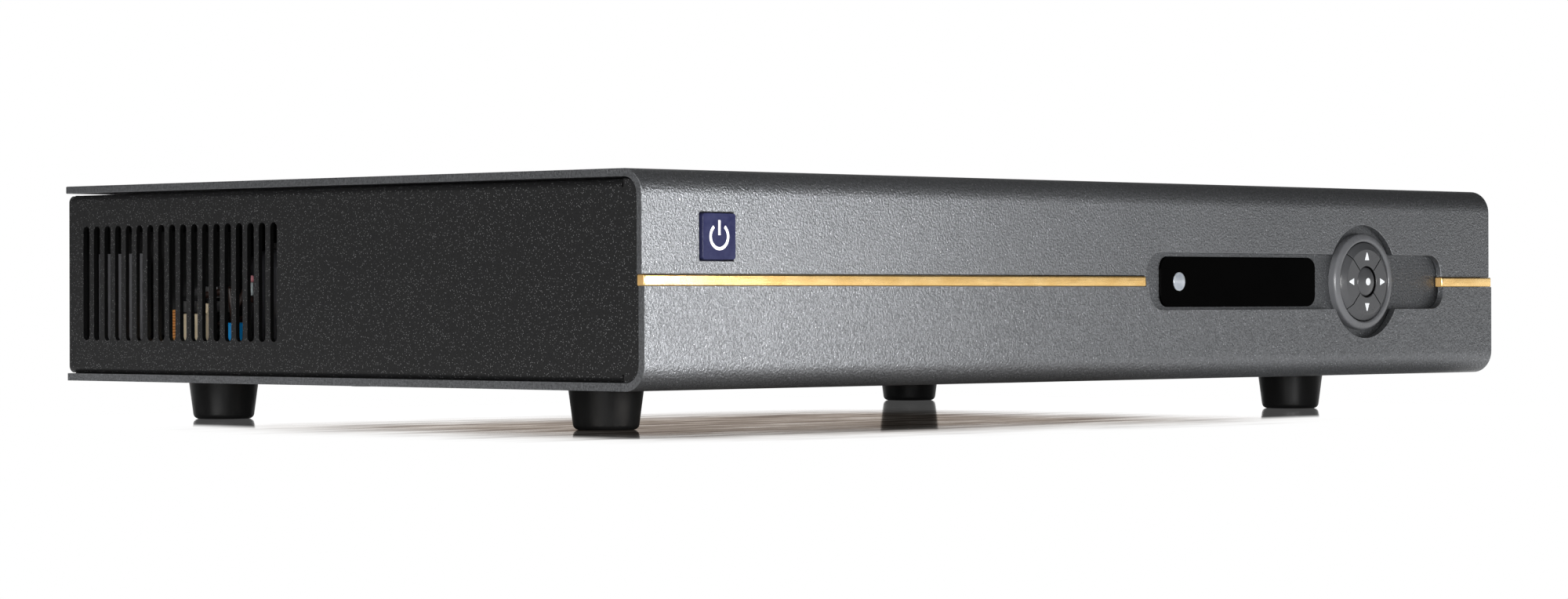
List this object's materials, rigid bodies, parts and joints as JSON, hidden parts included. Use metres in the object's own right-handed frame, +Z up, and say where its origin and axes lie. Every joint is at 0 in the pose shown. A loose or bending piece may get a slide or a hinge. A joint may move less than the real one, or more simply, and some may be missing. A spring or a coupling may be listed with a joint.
{
  "type": "desktop audio converter",
  "caption": "Low, wide charcoal metal audio converter with a gold trim strip, black display window, round keypad, slotted sides and rubber feet.",
  "frame": {"origin": "centre of the whole object's footprint, at the surface that the feet stand on", "axes": "+X to the right seen from the front, +Y from the front to the back, +Z up"},
  "size_m": [0.4318, 0.2992, 0.0801],
  "materials": {
    "cover_paint": "textured charcoal powder coat, slightly metallic",
    "subpanel_paint": "textured charcoal powder coat",
    "side_paint": "near-black fine powder coat with a faint sparkle",
    "trim_gold": "polished gold plating",
    "foot_rubber": "satin black rubber",
    "screw_steel": "bright zinc plated",
    "screw_black": "black oxide",
    "plated_steel": "zinc plated sheet",
    "window_gloss": "high gloss black acrylic",
    "display_glass": "unlit display glass",
    "lens_plastic": "milky translucent plastic",
    "circuit_board": "green solder mask",
    "standoff_brass": "turned brass",
    "key_plastic": "satin charcoal plastic",
    "badge_gloss": "gloss dark blue",
    "chip_black": "matt moulded black",
    "heatsink_black": "black anodised",
    "heatsink_aluminium": "plain extruded",
    "transformer_wrap": "dark polyester tape winding",
    "pad_rubber": "soft rubber",
    "capacitor_sleeve": "dark printed sleeve with aluminium top",
    "film_capacitor_case": "tan moulded case",
    "relay_case": "blue moulded case",
    "ribbon_sleeve": "grey ribbed flat cable",
    "wire_sleeve": "sleeved wire",
    "black_plastic": "fine moulded texture",
    "rocker_gloss": "satin gloss black",
    "fuse_glass": "glass tube with metal caps",
    "socket_black": "black die-cast shell",
    "contact_gold": "gold-plated contact"
  },
  "bodies": {
    "chassis": {"top_cover": "cover_paint", "bottom_cover": "cover_paint", "left_side_panel": "side_paint", "right_side_panel": "side_paint", "rear_panel": "side_paint", "front_subpanel": "subpanel_paint", "trim_left": "trim_gold", "trim_right": "trim_gold", "foot_front_left": "foot_rubber", "foot_front_right": "foot_rubber", "foot_rear_left": "foot_rubber", "foot_rear_right": "foot_rubber", "foot_screws": "screw_steel", "case_screws": "screw_black", "display_window": "window_gloss", "display_panel": "display_glass", "ir_lens": "lens_plastic", "ir_receiver": "chip_black", "front_board": "circuit_board", "front_standoffs": "standoff_brass", "nav_bezel": "key_plastic", "key_switches": "chip_black", "standby_board": "circuit_board", "main_board": "circuit_board", "board_standoffs": "standoff_brass", "board_screws": "screw_steel", "logic_chips": "chip_black", "chip_heatsink": "heatsink_black", "power_transformer": "transformer_wrap", "transformer_pads": "pad_rubber", "transformer_dish": "plated_steel", "transformer_bolt": "screw_steel", "supply_board": "circuit_board", "smoothing_capacitors": "capacitor_sleeve", "regulators": "chip_black", "regulator_heatsink": "heatsink_aluminium", "inlet_shield": "plated_steel", "filter_board": "circuit_board", "film_capacitors": "film_capacitor_case", "mains_relay": "relay_case", "ribbon_cable": "ribbon_sleeve", "mains_wiring": "wire_sleeve", "inlet_body": "black_plastic", "inlet_blades": "plated_steel", "rocker_frame": "black_plastic", "xlr_sockets": "socket_black", "xlr_pins": "contact_gold", "rca_sockets": "contact_gold", "digital_sockets": "plated_steel"},
    "nav_up_key": {"nav_up_key": "key_plastic"},
    "nav_down_key": {"nav_down_key": "key_plastic"},
    "nav_left_key": {"nav_left_key": "key_plastic"},
    "nav_right_key": {"nav_right_key": "key_plastic"},
    "nav_select_key": {"nav_select_key": "key_plastic"},
    "standby_button": {"standby_button": "badge_gloss"},
    "fuse_drawer": {"fuse_drawer": "black_plastic", "mains_fuse": "fuse_glass"},
    "power_rocker": {"power_rocker": "rocker_gloss"},
    "xlr_latch": {"xlr_latch": "plated_steel"},
    "optical_shutter": {"optical_shutter": "black_plastic"}
  },
  "joints": [
    {"name": "nav_up_press", "type": "slide", "parent": "chassis", "child": "nav_up_key", "axis": [0, 1, 0], "range_m": [0, 0.0006], "stiffness_N_per_m": 1500},
    {"name": "nav_down_press", "type": "slide", "parent": "chassis", "child": "nav_down_key", "axis": [0, 1, 0], "range_m": [0, 0.0006], "stiffness_N_per_m": 1500},
    {"name": "nav_left_press", "type": "slide", "parent": "chassis", "child": "nav_left_key", "axis": [0, 1, 0], "range_m": [0, 0.0006], "stiffness_N_per_m": 1500},
    {"name": "nav_right_press", "type": "slide", "parent": "chassis", "child": "nav_right_key", "axis": [0, 1, 0], "range_m": [0, 0.0006], "stiffness_N_per_m": 1500},
    {"name": "nav_select_press", "type": "slide", "parent": "chassis", "child": "nav_select_key", "axis": [0, 1, 0], "range_m": [0, 0.0006], "stiffness_N_per_m": 1500},
    {"name": "standby_press", "type": "slide", "parent": "chassis", "child": "standby_button", "axis": [0, 1, 0], "range_m": [0, 0.0005], "stiffness_N_per_m": 2000},
    {"name": "fuse_drawer_pull", "type": "slide", "parent": "chassis", "child": "fuse_drawer", "axis": [0, 1, 0], "range_m": [0, 0.02]},
    {"name": "power_rocker_tilt", "type": "hinge", "parent": "chassis", "child": "power_rocker", "pos_m": [-0.148, 0.1351, 0.0467], "axis": [-1, 0, 0], "range_deg": [0, 16]},
    {"name": "xlr_latch_press", "type": "slide", "parent": "chassis", "child": "xlr_latch", "axis": [0, -1, 0], "range_m": [0, 0.0015], "stiffness_N_per_m": 900},
    {"name": "optical_shutter_swing", "type": "hinge", "parent": "chassis", "child": "optical_shutter", "pos_m": [0.026, 0.1404, 0.0434], "axis": [-1, 0, 0], "range_deg": [0, 80], "stiffness_Nm_per_rad": 0.0004}
  ]
}
